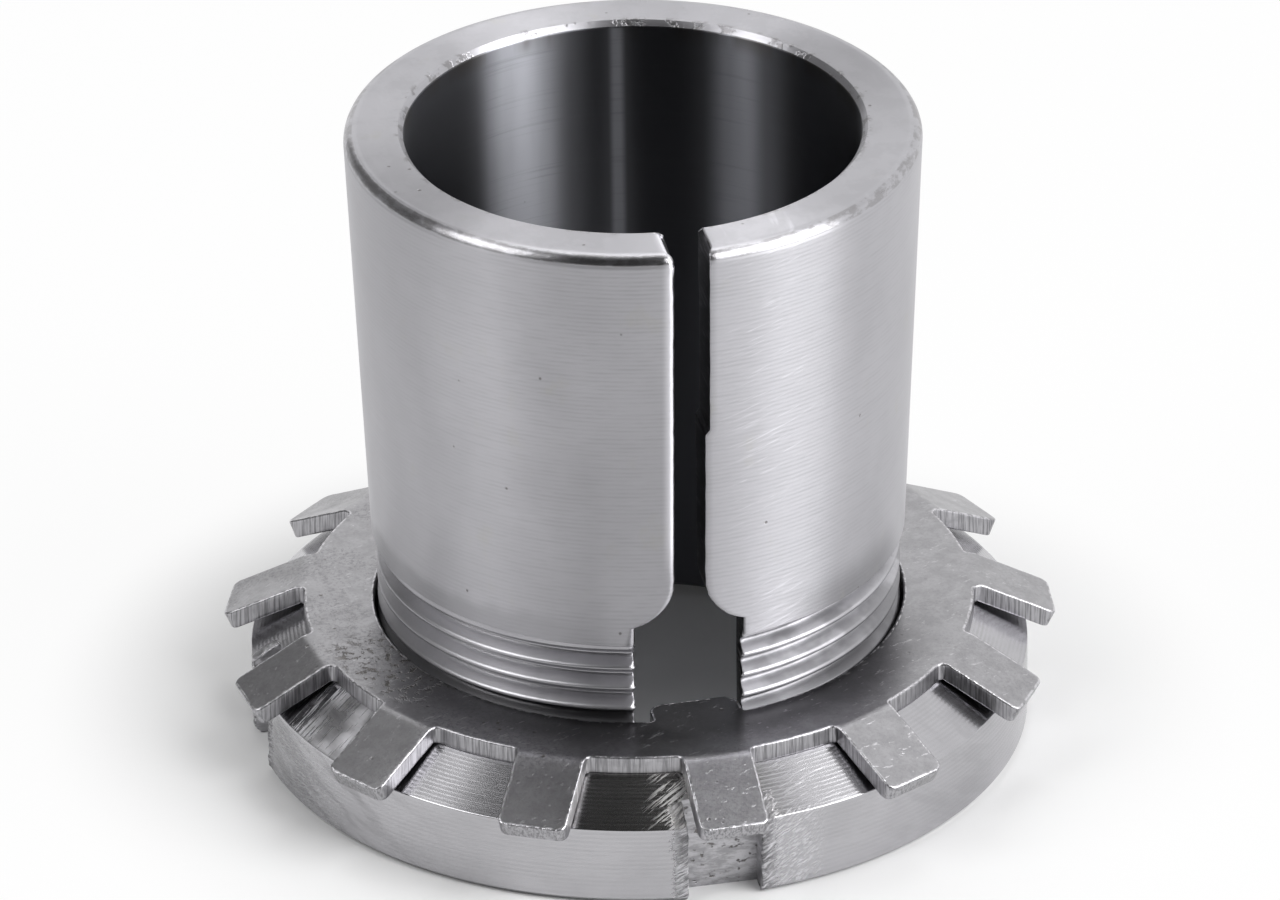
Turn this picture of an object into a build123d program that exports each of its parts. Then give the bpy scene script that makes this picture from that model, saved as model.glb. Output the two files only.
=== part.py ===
from build123d import *
from math import acos, asin, atan, degrees, radians, sqrt, tan
import os

# Adapter sleeve for a 30 mm shaft: split taper sleeve, tabbed lock washer and slotted lock nut.
# The assembly stands on the nut's back face. The origin is on the axis in that face,
# +Z runs towards the sleeve's large end, and the slit and the keyway face -Y.
# All sizes are in millimetres and degrees.

# Sleeve
shaft_diameter = 30.0
sleeve_length = 43.0
large_end_diameter = 38.0
taper = 1 / 12
small_end_height = 0.9
rim_bevel = 0.6
bore_edge = 0.4
small_end_chamfer = 1.1
slit_width = 2.0
slit_corner = 0.6
keyway_width = 7.3
keyway_length = 18.6
shoulder_radius = 3.6

# Thread, right-handed: a groove with sharp roots on the sleeve, whose crests the nut's bore clears
thread_diameter = 35.0
thread_pitch = 1.5
thread_length = 13.75
thread_clearance = 0.05
flank_angle = 30.0
runout_turns = 0.5

# Lock washer: its diameter is the flat blank's, before the tabs are folded
washer_thickness = 1.25
washer_hole_gap = 0.45
washer_root_diameter = 44.8
washer_diameter = 57.0
fold_gap = 0.19
fold_inner_radius = 0.3
tab_lift_angle = 3.5
tab_count = 13
tab_width = 4.6
tab_corner = 0.35
tang_width = 6.0
tang_corner = 1.0
tang_end_gap = 0.3
tang_side_gap = 0.1

# Lock nut
nut_diameter = 52.0
nut_width = 7.75
nut_face_diameter = 44.5
nut_cone_angle = 30.0
nut_edge_chamfer = 0.45
nut_bore_chamfer = 0.8
slot_count = 4
slot_width = 5.0
slot_depth = 2.0
nut_turn = 1.25

# Lengths by which a cut runs past its face, and by which joined shapes run into each other
cut_margin = 1.0
groove_margin = 0.1
groove_overlap = 0.0002
joint_overlap = 0.4

# Sleeve, worked out from the sizes above
bore_radius = shaft_diameter / 2
large_end_radius = large_end_diameter / 2
sleeve_top = small_end_height + sleeve_length
shoulder_top = small_end_height + keyway_length

# Thread, worked out: one cutter makes one turn of the groove, and the last ends below the seat
thread_radius = thread_diameter / 2
thread_top = small_end_height + thread_length
crest_radius = thread_radius - thread_clearance
groove_half_width = thread_pitch * 7 / 16
groove_depth = groove_half_width / tan(radians(flank_angle))
groove_end = thread_top - groove_half_width
groove_turns = int(thread_length / thread_pitch) + 1
seat_foot_radius = large_end_radius - (sleeve_top - thread_top) * taper / 2

# Nut, worked out
nut_radius = nut_diameter / 2
nut_face_radius = nut_face_diameter / 2
nut_bore_radius = thread_radius + thread_clearance
nut_cone_height = (nut_radius - nut_face_radius) * tan(radians(nut_cone_angle))

# Washer, worked out: the tabs are folded just outside the nut's face and stand off its cone
washer_top = nut_width + washer_thickness
washer_hole_radius = thread_radius + washer_hole_gap
washer_root_radius = washer_root_diameter / 2
tang_end_radius = bore_radius + tang_end_gap
fold_angle = nut_cone_angle - tab_lift_angle
fold_start = nut_face_radius + fold_gap
fold_setback = (fold_inner_radius + washer_thickness) * tan(radians(fold_angle / 2))
tip_length = washer_diameter / 2 - fold_start - 2 * fold_setback

# The washer is turned in the keyway's play until its tang lies by one wall
tang_play = (keyway_width - tang_width) / 2 - tang_side_gap
washer_turn = degrees(asin(tang_play / thread_radius))

# Planes: two hold a radius and a height, and one is the washer's own lower face
profile_plane = Plane.XZ
tab_plane = Plane(origin=(0, 0, 0), x_dir=(0, -1, 0), z_dir=(-1, 0, 0))
washer_plane = Plane.XY.offset(nut_width).rotated((0, 0, washer_turn))

os.makedirs("parts", exist_ok=True)


def groove_cutter(start_height, turns, cone_angle):
    """A stretch of the thread's groove from +X at a height, on a cylinder or leaving it on a cone."""
    mouth = groove_half_width + groove_margin * tan(radians(flank_angle))
    with BuildPart() as cutter:
        with BuildLine():
            path = Helix(
                pitch=thread_pitch,
                height=thread_pitch * turns + groove_overlap,
                radius=crest_radius,
                center=(0, 0, start_height),
                cone_angle=cone_angle,
            )
        start = path @ 0
        with BuildSketch(Plane(origin=start, x_dir=(start.X, start.Y, 0), z_dir=path % 0)):
            with BuildLine():
                Polyline(
                    (groove_margin, mouth),
                    (-groove_depth, 0),
                    (groove_margin, -mouth),
                    close=True,
                )
            make_face()
        sweep(is_frenet=True)
    return cutter.part


# Sleeve: the turned wall and its thread, then the slit and the keyway cut in one outline.
with BuildPart() as sleeve:
    with BuildSketch(profile_plane):
        with BuildLine():
            Polyline(
                (bore_radius, small_end_height),
                (crest_radius - small_end_chamfer, small_end_height),
                (crest_radius, small_end_height + small_end_chamfer),
                (crest_radius, thread_top),
                (seat_foot_radius, thread_top),
                (large_end_radius, sleeve_top),
                (bore_radius, sleeve_top),
                close=True,
            )
        make_face()
    revolve(axis=Axis.Z)
    top_edges = sleeve.edges().group_by(Axis.Z)[-1].sort_by(SortBy.RADIUS)
    chamfer(top_edges[0], length=bore_edge)
    rim_edge = sleeve.edges().group_by(Axis.Z)[-1].sort_by(SortBy.RADIUS)[-1]
    chamfer(rim_edge, length=rim_bevel)
    for turn in range(groove_turns):
        start_height = groove_end - (turn + 1) * thread_pitch
        add(groove_cutter(start_height, 1, 0), mode=Mode.SUBTRACT)
    runout_rise = thread_pitch * runout_turns
    runout_angle = degrees(atan((groove_depth + 2 * groove_margin) / runout_rise))
    add(groove_cutter(groove_end, runout_turns, runout_angle), mode=Mode.SUBTRACT)
    with BuildSketch(Plane.XZ):
        with BuildLine():
            half_slit = slit_width / 2
            half_keyway = keyway_width / 2
            shoulder_sweep = degrees(acos(1 - (half_keyway - half_slit) / shoulder_radius))
            above = Line((0, sleeve_top + cut_margin), (half_slit + slit_corner, sleeve_top + cut_margin))
            mouth = Line(above @ 1, (half_slit + slit_corner, sleeve_top))
            corner = RadiusArc(mouth @ 1, (half_slit, sleeve_top - slit_corner), slit_corner)
            side = Line(corner @ 1, (half_slit, shoulder_top))
            shoulder = JernArc(side @ 1, (0, -1), shoulder_radius, shoulder_sweep)
            wall = Line(shoulder @ 1, (half_keyway, small_end_height - cut_margin))
            Line(wall @ 1, (0, small_end_height - cut_margin))
            mirror(about=Plane.YZ)
        make_face()
    extrude(amount=large_end_radius + cut_margin, mode=Mode.SUBTRACT)
sleeve.part.label = "sleeve"
export_step(sleeve.part, "parts/sleeve.step")


# One tab: a strip folded down over the nut's cone, with its corners broken at the tip.
with BuildPart() as tab:
    with BuildSketch(tab_plane):
        with BuildLine():
            middle_height = washer_top - washer_thickness / 2
            fold_radius = fold_inner_radius + washer_thickness / 2
            flat = Line((washer_hole_radius + joint_overlap, middle_height), (fold_start, middle_height))
            bend = JernArc(flat @ 1, (1, 0), fold_radius, -fold_angle)
            PolarLine(bend @ 1, tip_length, direction=bend % 1)
        trace(line_width=washer_thickness)
    extrude(amount=tab_width / 2, both=True)
    tip_face = tab.faces().sort_by(Axis.Y)[0]
    tip_edges = tip_face.edges().filter_by(Axis.X, reverse=True)
    chamfer(tip_edges, length=tab_corner)


# Lock washer: a flat ring with the folded tabs round it and one flat tang in its hole.
with BuildPart() as lock_washer:
    with BuildSketch(washer_plane):
        Circle(washer_root_radius)
        Circle(washer_hole_radius, mode=Mode.SUBTRACT)
    extrude(amount=washer_thickness)
    with PolarLocations(0, tab_count, start_angle=washer_turn):
        add(tab.part)
    with BuildSketch(washer_plane):
        with BuildLine():
            half_tang = tang_width / 2
            tang_root_radius = washer_hole_radius + joint_overlap
            end_line = Line((0, -tang_end_radius), (half_tang - tang_corner, -tang_end_radius))
            end_corner = RadiusArc(end_line @ 1, (half_tang, -tang_end_radius - tang_corner), tang_corner)
            tang_side = Line(end_corner @ 1, (half_tang, -tang_root_radius))
            Line(tang_side @ 1, (0, -tang_root_radius))
            mirror(about=Plane.YZ)
        make_face()
    extrude(amount=washer_thickness)
lock_washer.part.label = "lock_washer"
export_step(lock_washer.part, "parts/lock_washer.step")


# Lock nut: the turned ring with its cone towards the washer, and slots for a hook spanner.
with BuildPart() as lock_nut:
    with BuildSketch(profile_plane):
        with BuildLine():
            Polyline(
                (nut_bore_radius, nut_bore_chamfer),
                (nut_bore_radius + nut_bore_chamfer, 0),
                (nut_radius - nut_edge_chamfer, 0),
                (nut_radius, nut_edge_chamfer),
                (nut_radius, nut_width - nut_cone_height),
                (nut_face_radius, nut_width),
                (nut_bore_radius + nut_bore_chamfer, nut_width),
                (nut_bore_radius, nut_width - nut_bore_chamfer),
                close=True,
            )
        make_face()
    revolve(axis=Axis.Z)
    with BuildSketch(Plane.XY):
        with PolarLocations(nut_radius, slot_count, start_angle=nut_turn):
            Rectangle(slot_depth * 2, slot_width)
    extrude(amount=nut_width, mode=Mode.SUBTRACT)
lock_nut.part.label = "lock_nut"
export_step(lock_nut.part, "parts/lock_nut.step")
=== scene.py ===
"""Adapter sleeve for a 30 mm shaft: split taper sleeve, tabbed lock washer and slotted lock nut.

The shapes stand on the lock nut's back face, with the axis on Z and the sleeve's slit towards -Y.
Angles round the axis are counted from the slit, so that a point lies at (r sin a, -r cos a).
"""

import math

import bmesh
import bpy
import numpy as np
from bpy.props import FloatProperty, FloatVectorProperty, IntProperty, PointerProperty
from mathutils import Matrix, Vector
from mathutils.geometry import delaunay_2d_cdt


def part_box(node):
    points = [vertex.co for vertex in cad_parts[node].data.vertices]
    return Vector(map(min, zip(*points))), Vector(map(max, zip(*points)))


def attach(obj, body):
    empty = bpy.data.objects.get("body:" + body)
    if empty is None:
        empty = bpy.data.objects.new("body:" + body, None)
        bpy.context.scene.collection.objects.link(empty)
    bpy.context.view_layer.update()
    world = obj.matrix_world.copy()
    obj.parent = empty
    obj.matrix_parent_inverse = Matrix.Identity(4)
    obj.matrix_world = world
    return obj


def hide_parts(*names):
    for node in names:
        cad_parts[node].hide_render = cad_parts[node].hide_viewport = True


bl_info = {
    "name": "Adapter sleeve with lock washer and lock nut",
    "version": (1, 0, 0),
    "blender": (4, 5, 0),
    "location": "3D View > Sidebar > Adapter sleeve",
    "description": "Builds the sleeve, its lock washer and its lock nut on the packed frame",
    "category": "Mesh",
}

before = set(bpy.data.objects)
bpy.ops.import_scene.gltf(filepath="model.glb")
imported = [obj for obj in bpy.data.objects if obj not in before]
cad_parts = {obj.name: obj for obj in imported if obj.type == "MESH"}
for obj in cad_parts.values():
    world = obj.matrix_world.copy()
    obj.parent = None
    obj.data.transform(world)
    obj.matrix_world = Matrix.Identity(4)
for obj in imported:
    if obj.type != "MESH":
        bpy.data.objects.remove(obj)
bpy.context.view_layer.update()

MM = 0.001
FULL_TURN = 2 * math.pi

# A length below every feature, and the distance within which points are welded
TINY = 0.001 * MM
WELD = 0.0004 * MM

SLEEVE_LOW, SLEEVE_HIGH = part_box("sleeve")
WASHER_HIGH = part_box("lock_washer")[1]
NUT_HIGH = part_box("lock_nut")[1]

# Regions of a mesh, which the node trees give their finishes
TURNED, BORE, THREAD, SAWN, FACE, EDGE = range(6)

# Measures of the finishes in millimetres: where they change, and how far apart the turning lines lie
SLEEVE_TOP = SLEEVE_HIGH.z / MM
WASHER_TOP = WASHER_HIGH.z / MM
NUT_RADIUS = NUT_HIGH.x / MM
CONE_FOOT = 5.6
SEAT_FEED = 0.31
NUT_FEED = 0.33

# How much of a step along the radius counts as height, so that the turning lines climb the nut's cone
CONE_RISE = 0.69

# Share of a full turn that draws the highlights out along the axis
HIGHLIGHT_TURN = 0.25

# Places of wear and dirt, a darker seat foot and a painted reflection on the cone: the middle and half the
# width in degrees from the slit, and the strength
DARK_FOOT_PLACES = ((42, 15, 1.7),)
PITTED_RING = ((-70, 12, 1.4),)
RUBBED_CONE_AND_REFLECTION = ((-3, 6, 1.0), (20, 10, 0.15), (-63, 10, 2.2))
SCUFFED_RIM = ((10, 5, 0.7), (-74, 12, 0.4))
SMEARED_NUT = ((-70, 20, 1.0), (40, 12, 0.4))

# Bands of the bore painted lighter as reflections, in the same way but counted from the back
PAINTED_REFLECTION_BANDS = ((-19, 9, 1.0), (7, 1.6, 0.6), (38, 6, 0.5))


def length(name, description, millimetres):
    """A length property with its default in millimetres."""
    return FloatProperty(
        name=name, description=description, default=millimetres * MM, unit="LENGTH", precision=5
    )


def angle(name, description, degrees):
    """An angle property with its default in degrees."""
    return FloatProperty(
        name=name, description=description, default=math.radians(degrees), subtype="ANGLE", unit="ROTATION"
    )


def colour(name, description, red, green, blue):
    """A colour property."""
    return FloatVectorProperty(
        name=name, description=description, default=(red, green, blue), subtype="COLOR", min=0, max=1
    )


class AdapterSleeveSizes(bpy.types.PropertyGroup):
    """Sizes of the split taper sleeve and its thread."""

    bore_radius: length("Bore radius", "Radius of the shaft that the sleeve grips", 15)
    large_end_radius: length("Large end radius", "Outer radius at the large end", 19)
    taper: FloatProperty(name="Taper", description="Change of diameter over length", default=1 / 12)
    rim_round: length("Rim rounding", "Rounding of the outer edge at the large end", 0.9)
    bore_edge: length("Bore edge", "Chamfer of the bore at the large end", 0.4)
    slit_half: length("Slit half width", "Half the width of the slit", 1)
    slit_corner: length("Slit corner", "Rounding of the slit's mouth", 0.25)
    saw_step: length("Saw step", "How much wider the saw cut is towards the mouth", 0.3)
    saw_step_depth: length("Saw step depth", "How far from the large end the wider cut goes", 13.6)
    keyway_half: length("Keyway half width", "Half the width of the keyway", 3.65)
    keyway_length: length("Keyway length", "Length of the keyway with its shoulders", 18.6)
    shoulder_radius: length("Shoulder radius", "Radius between the keyway and the slit", 3.6)
    edge_round: length("Edge rounding", "Rounding of the keyway's edges and the slit's right edge", 0.12)
    worn_round: length("Worn edge", "Rounding of the slit's left edge", 0.4)
    thread_length: length("Thread length", "Length of the threaded end", 13.75)
    crest_radius: length("Crest radius", "Radius of the thread's crests", 17.45)
    pitch: length("Thread pitch", "Rise of the thread in one turn", 1.5)
    groove_height: length("Groove height", "Height of the last groove where it starts at the slit", 12.119)
    groove_depth: length("Groove depth", "Depth of the rounded groove", 0.92)
    end_chamfer: length("End chamfer", "Chamfer of the threaded end", 1.1)
    columns: IntProperty(name="Columns", description="Faces round the sleeve", default=280)


class LockWasherSizes(bpy.types.PropertyGroup):
    """Sizes of the stamped lock washer."""

    thickness: length("Thickness", "Thickness of the sheet", 1.25)
    hole_radius: length("Hole radius", "Radius of the hole round the thread", 17.7)
    root_radius: length("Root radius", "Radius at the foot of the tabs", 22.4)
    fold_start: length("Fold start", "Radius where the tabs begin to fold", 22.44)
    fold_radius: length("Fold radius", "Radius of the fold in the middle of the sheet", 0.925)
    fold_angle: angle("Fold angle", "How far the tabs are folded down", 26.5)
    tip_length: length("Tip length", "Straight length of a tab past its fold", 5.33)
    tab_half: length("Tab half width", "Half the width of a tab", 2.3)
    tab_corner: length("Tab corner", "Rounding of a tab's corners", 0.6)
    root_corner: length("Root corner", "Rounding between a tab and the ring", 0.5)
    tab_count: IntProperty(name="Tabs", description="Number of tabs", default=13)
    tang_half: length("Tang half width", "Half the width of the tang", 3)
    tang_end: length("Tang end", "Radius where the tang ends", 15.3)
    tang_corner: length("Tang corner", "Rounding of the tang's corners", 1)
    tang_root: length("Tang root", "Rounding between the tang and the ring", 0.3)
    turn: angle("Turn", "How far the washer is turned in the keyway's play", 1.801)
    edge_round: length("Edge rounding", "Rounding of the stamped edges", 0.13)
    burr: length("Burr", "Height of the burrs on the stamped edges", 0.03)


class LockNutSizes(bpy.types.PropertyGroup):
    """Sizes of the slotted lock nut."""

    radius: length("Radius", "Outer radius of the nut", 26)
    face_radius: length("Face radius", "Radius of the flat face under the washer", 22.25)
    cone_angle: angle("Cone angle", "Slope of the cone towards the washer", 30)
    edge_chamfer: length("Edge chamfer", "Chamfer of the back edge", 0.45)
    bore_mouth: length("Bore mouth", "Radius of the bore's chamfers", 18.35)
    crest_radius: length("Crest radius", "Radius of the thread's crests in the bore", 16.74)
    groove_depth: length("Groove depth", "Depth of the thread in the bore", 0.78)
    slot_half: length("Slot half width", "Half the width of a slot", 2.5)
    slot_floor: length("Slot floor", "Distance from the axis to a slot's floor", 24)
    slot_count: IntProperty(name="Slots", description="Number of slots", default=4)
    turn: angle("Turn", "Where the first slot lies round the axis", 1.25)
    edge_round: length("Edge rounding", "Rounding of the turned edges", 0.1)
    burr: length("Burr", "Height of the torn edges along the slots", 0.2)


class SteelLooks(bpy.types.PropertyGroup):
    """Colours of the steel finishes."""

    turned: colour("Turned steel", "Colour of the fine turned seat", 0.503, 0.498, 0.525)
    bore: colour("Bore", "Colour of the bore", 0.33, 0.335, 0.365)
    thread: colour("Thread", "Colour of the rolled thread", 0.48, 0.475, 0.50)
    sheet: colour("Sheet", "Colour of the washer's faces", 0.385, 0.38, 0.395)
    sheared: colour("Sheared edge", "Colour of the washer's edges", 0.45, 0.445, 0.465)
    milled: colour("Milled steel", "Colour of the nut", 0.50, 0.495, 0.515)
    grime: colour("Grime", "Colour of dirt in the marks", 0.12, 0.11, 0.10)
    oil: colour("Oil", "Colour of the thin oil film", 0.46, 0.45, 0.40)


class StudioSettings(bpy.types.PropertyGroup):
    """Camera and lights."""

    distance: length("Distance", "From the camera to its target", 769.7)
    elevation: angle("Elevation", "Camera's height over the horizon", 28.354)
    azimuth: angle("Azimuth", "Camera's direction from the slit", -10.85)
    roll: angle("Roll", "Camera's tilt about its own axis", -0.734)
    target_height: length("Target height", "Height of the target of the camera's distance", 24)
    aim_height: length("Aim height", "Height that the camera points at", 19.6097)
    aim_side: length("Aim side", "How far right of the axis the camera points", 0.1991)
    lens: FloatProperty(name="Lens", description="Focal length on a 36 mm sensor, in mm", default=326.776)
    floor: colour("Floor", "Colour of the floor", 0.9, 0.9, 0.9)
    fill: FloatProperty(name="Fill", description="How much the white surroundings light", default=0.2)


# The Mix node has an output for each kind of value, and this is the colour's
COLOUR_OUTPUT = 2


class Wire:
    """A node's output that stands in sums: each operator adds one Math node."""

    def __init__(self, graph, socket):
        self.graph = graph
        self.socket = socket

    def math(self, operation, *others):
        """A Math node on this wire and others."""
        settings = {"operation": operation}
        return self.graph.add("ShaderNodeMath", settings, dict(enumerate((self, *others))))

    def output(self, name):
        """Another output of the same node."""
        return Wire(self.graph, self.socket.node.outputs[name])

    def __add__(self, other):
        return self.math("ADD", other)

    def __radd__(self, other):
        return self.graph.value("ADD", other, self)

    def __sub__(self, other):
        return self.math("SUBTRACT", other)

    def __rsub__(self, other):
        return self.graph.value("SUBTRACT", other, self)

    def __mul__(self, other):
        return self.math("MULTIPLY", other)

    def __truediv__(self, other):
        return self.math("DIVIDE", other)

    def __neg__(self):
        return self.math("MULTIPLY", -1)

    def fraction(self):
        """The part after the decimal point, counted up from the whole number below."""
        return self.math("FRACT")

    def distance(self):
        """The value without its sign."""
        return self.math("ABSOLUTE")

    def clamped(self):
        """The value held between 0 and 1."""
        return self.graph.add("ShaderNodeClamp", {}, {"Value": self})

    def ramp(self, low, high, to_low=0.0, to_high=1.0):
        """The value's place between low and high, eased at both ends."""
        settings = {"interpolation_type": "SMOOTHSTEP"}
        values = {"Value": self, "From Min": low, "From Max": high, "To Min": to_low, "To Max": to_high}
        return self.graph.add("ShaderNodeMapRange", settings, values)


class Graph:
    """A node tree that is being built."""

    def __init__(self, tree):
        self.tree = tree

    def add(self, kind, settings, values, output=0):
        """One node: its settings are made first, then its sockets are set or linked."""
        node = self.tree.nodes.new(kind)
        for key, value in settings.items():
            setattr(node, key, value)
        for key, value in values.items():
            socket = node.inputs[key] if isinstance(key, int) else self.find(node, key)
            if isinstance(value, Wire):
                self.tree.links.new(value.socket, socket)
            elif socket.type == "RGBA" and len(value) == 3:
                socket.default_value = (*value, 1)
            else:
                socket.default_value = value
        return Wire(self, node.outputs[output])

    def find(self, node, name):
        """The node's socket of that name that is in use."""
        return next(socket for socket in node.inputs if socket.enabled and socket.name == name)

    def value(self, operation, first, second):
        """A Math node on a number and a wire."""
        return self.add("ShaderNodeMath", {"operation": operation}, {0: first, 1: second})

    def mix(self, factor, first, second):
        """A colour between two colours."""
        values = {"Factor": factor, "A": first, "B": second}
        return self.add("ShaderNodeMix", {"data_type": "RGBA"}, values, COLOUR_OUTPUT)

    def join(self, *parts):
        """Several geometries as one."""
        node = self.tree.nodes.new("GeometryNodeJoinGeometry")
        for part in parts:
            self.tree.links.new(part.socket, node.inputs[0])
        return Wire(self, node.outputs[0])

    def attribute(self, name, kind="FLOAT"):
        """A value that the mesh carries."""
        return self.add("GeometryNodeInputNamedAttribute", {"data_type": kind}, {"Name": name})

    def place(self, scale, turn=(0, 0, 0)):
        """The point on the piece in millimetres, turned back by the angles and then scaled."""
        point = self.add("ShaderNodeTexCoord", {}, {}, "Object")
        values = {"Vector": point, "Rotation": turn, "Scale": tuple(MM / value for value in scale)}
        return self.add("ShaderNodeMapping", {"vector_type": "TEXTURE"}, values)

    def parts(self):
        """The point's X, Y and Z on the piece, in millimetres."""
        x = self.add("ShaderNodeSeparateXYZ", {}, {"Vector": self.place((1, 1, 1))}, "X")
        return x, x.output("Y"), x.output("Z")

    def around(self):
        """The point's angle from the slit, its radius and its height, in radians and millimetres."""
        x, y, z = self.parts()
        return x.math("ARCTAN2", -y), (x * x + y * y).math("SQRT"), z

    def noise(self, scale, detail=3.0, roughness=0.6, turn=(0, 0, 0)):
        """Noise from 0 to 1 whose grain is stretched along the directions with a small scale."""
        values = {"Vector": self.place(scale, turn), "Scale": 1.0, "Detail": detail, "Roughness": roughness}
        return self.add("ShaderNodeTexNoise", {}, values)

    def specks(self, spacing, size, share):
        """Small round marks about a spacing apart, of which only a share is kept."""
        scale = (1 / spacing,) * 3
        cell = self.add("ShaderNodeTexVoronoi", {}, {"Vector": self.place(scale), "Scale": 1.0}, "Distance")
        red = self.add("ShaderNodeSeparateColor", {}, {"Color": cell.output("Color")}, "Red")
        kept = red.math("LESS_THAN", share)
        return cell.ramp(size / spacing * 1.3, size / spacing * 0.5) * kept

    def margin(self):
        """How near the point is to a torn or sheared edge, from 0 to 1."""
        return self.add("ShaderNodeAttribute", {"attribute_name": "margin"}, {}, "Fac")


def steel(name, base, anisotropic=0.0):
    """A wholly metallic material with its graph and shader node."""
    material = bpy.data.materials.new(name)
    material.use_nodes = True
    graph = Graph(material.node_tree)
    shader = material.node_tree.nodes["Principled BSDF"]
    shader.inputs["Base Color"].default_value = (*base, 1)
    shader.inputs["Metallic"].default_value = 1.0
    shader.inputs["Anisotropic"].default_value = anisotropic
    shader.inputs["Anisotropic Rotation"].default_value = HIGHLIGHT_TURN
    return material, graph, shader


def shade(tone, factor):
    """A colour made darker or lighter."""
    return tuple(min(1.0, part * factor) for part in tone)


def leaning(degrees):
    """The turn that makes marks on the front lean to the left, or to the right where it is negative."""
    return (0, math.radians(degrees), 0)


def off_back(turn):
    """A factor of 1 in front and at the sides, which fades to 0 at the back, where the angle jumps."""
    return turn.distance().ramp(math.radians(176), math.radians(135))


def places_round(turn, places):
    """The strength of the places that lie round the axis, with soft sides."""
    total = 0
    for middle, half, strength in places:
        aside = (turn - math.radians(middle)).distance()
        total = aside.ramp(math.radians(half * 1.6), math.radians(half * 0.4), 0.0, strength) + total
    return total


def finish_with(graph, shader, base, roughness, height):
    """Links colour, roughness and a relief in millimetres to the shader."""
    normal = graph.add("ShaderNodeBump", {}, {"Height": height, "Distance": MM, "Strength": 1.0})
    for name, wire in {"Base Color": base, "Roughness": roughness, "Normal": normal}.items():
        graph.tree.links.new(wire.socket, shader.inputs[name])


def turned_steel(looks):
    """Fine turned seat and rim: broken rings a feed apart, rubbing marks, stains, dents, worn edges, one
    with a painted highlight.
    """
    material, graph, shader = steel("turned_steel", looks.turned, anisotropic=0.9)
    turn, radius, height = graph.around()
    x, y, _ = graph.parts()

    # Turning lines, clearest in front, and streaks round the seat
    feed = (height * (FULL_TURN / SEAT_FEED) + graph.noise((0.1, 0.1, 0.4)) * 3).math("SINE")
    broken = graph.noise((0.4, 0.4, 3.2), 3.0, 0.7)
    streaks = graph.noise((0.05, 0.05, 6.0), 4.0, 0.7)
    clear = turn.distance().ramp(math.radians(80), math.radians(25), 0.3, 1.0)
    lines = broken.ramp(0.3, 0.7) * (feed * 0.5 + 0.5) * clear

    # Rubbing marks, most of them right of the slit
    beside = (turn - math.radians(18)).distance().ramp(math.radians(14), math.radians(3), 0.12, 1.0)
    rubbed = graph.noise((0.22, 0.22, 5.5), 3.0, 0.6, leaning(-14))
    rubbed = rubbed.ramp(0.52, 0.72) * beside * graph.noise((0.25, 0.25, 0.12)).ramp(0.4, 0.55)

    # Stains, a darker band at the foot of the seat, thin oil and small dents
    stains = graph.noise((0.10, 0.10, 0.06), 3.0)
    oil = graph.noise((0.22, 0.22, 0.16), 4.0, 0.7).ramp(0.60, 0.74)
    left_foot = (height - stains * 5).ramp(14.0, 12.9) * (turn + math.radians(40)).ramp(0.5, -0.1)
    left_foot = left_foot * off_back(turn)
    foot = left_foot + (height - stains * 3).ramp(16.4, 13.6) * places_round(turn, DARK_FOOT_PLACES)
    on_rim = height.ramp(SLEEVE_TOP - 0.9, SLEEVE_TOP - 0.5)
    marks = graph.specks(2.4, 0.11, 0.3) + graph.specks(1.3, 0.13, 0.22) * on_rim

    # The slit's left edge is worn and painted lighter as a highlight, the rim bruised and clouded, and the
    # bore's edge chipped
    worn = x.ramp(-1.95, -1.1) * x.ramp(1.0, 0.5) * y.ramp(0, -1) * height.ramp(19, 23)
    bevel = height.ramp(SLEEVE_TOP - 0.65, SLEEVE_TOP - 0.55) * radius.ramp(18.35, 18.45)
    bruised = graph.noise((0.9, 0.9, 2.5), 4.0, 0.7)
    chipped = radius.ramp(15.8, 15.4) * graph.noise((0.9, 0.9, 0.9), 4.0, 0.7).ramp(0.53, 0.62)
    on_face = height.ramp(SLEEVE_TOP - 0.4, SLEEVE_TOP - 0.1)
    clouded = on_face * graph.noise((0.45, 0.45, 0.45), 4.0, 0.65).ramp(0.42, 0.60)

    base = graph.mix(stains.ramp(0.35, 0.65), looks.turned, shade(looks.turned, 0.93))
    base = graph.mix(clouded * 0.5, base, shade(looks.turned, 0.85))
    base = graph.mix(foot * 0.55, base, shade(looks.turned, 0.6))
    base = graph.mix(lines * 0.5, base, shade(looks.turned, 0.74))
    base = graph.mix(oil * 0.25, base, looks.oil)
    base = graph.mix(rubbed * 0.6, base, shade(looks.turned, 1.35))
    # A painted highlight along the slit's worn left edge
    base = graph.mix(worn * 0.8, base, shade(looks.turned, 1.8))
    base = graph.mix(bevel * bruised.ramp(0.60, 0.42) * 0.35, base, looks.grime)
    base = graph.mix(chipped * 0.4, base, looks.grime)
    base = graph.mix(marks * 0.65, base, looks.grime)
    burnished = height.ramp(SLEEVE_TOP - 0.7, SLEEVE_TOP - 0.5) * radius.ramp(18.0, 18.2)
    roughness = 0.34 + streaks * 0.03 + stains * 0.06 - burnished * 0.1
    relief = feed * broken * 0.004 + streaks * 0.0012 + rubbed * 0.002 + bevel * bruised * 0.018
    relief = relief - marks * 0.02 - chipped * 0.015 + clouded * 0.004
    finish_with(graph, shader, base, roughness, relief)
    return material


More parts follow.
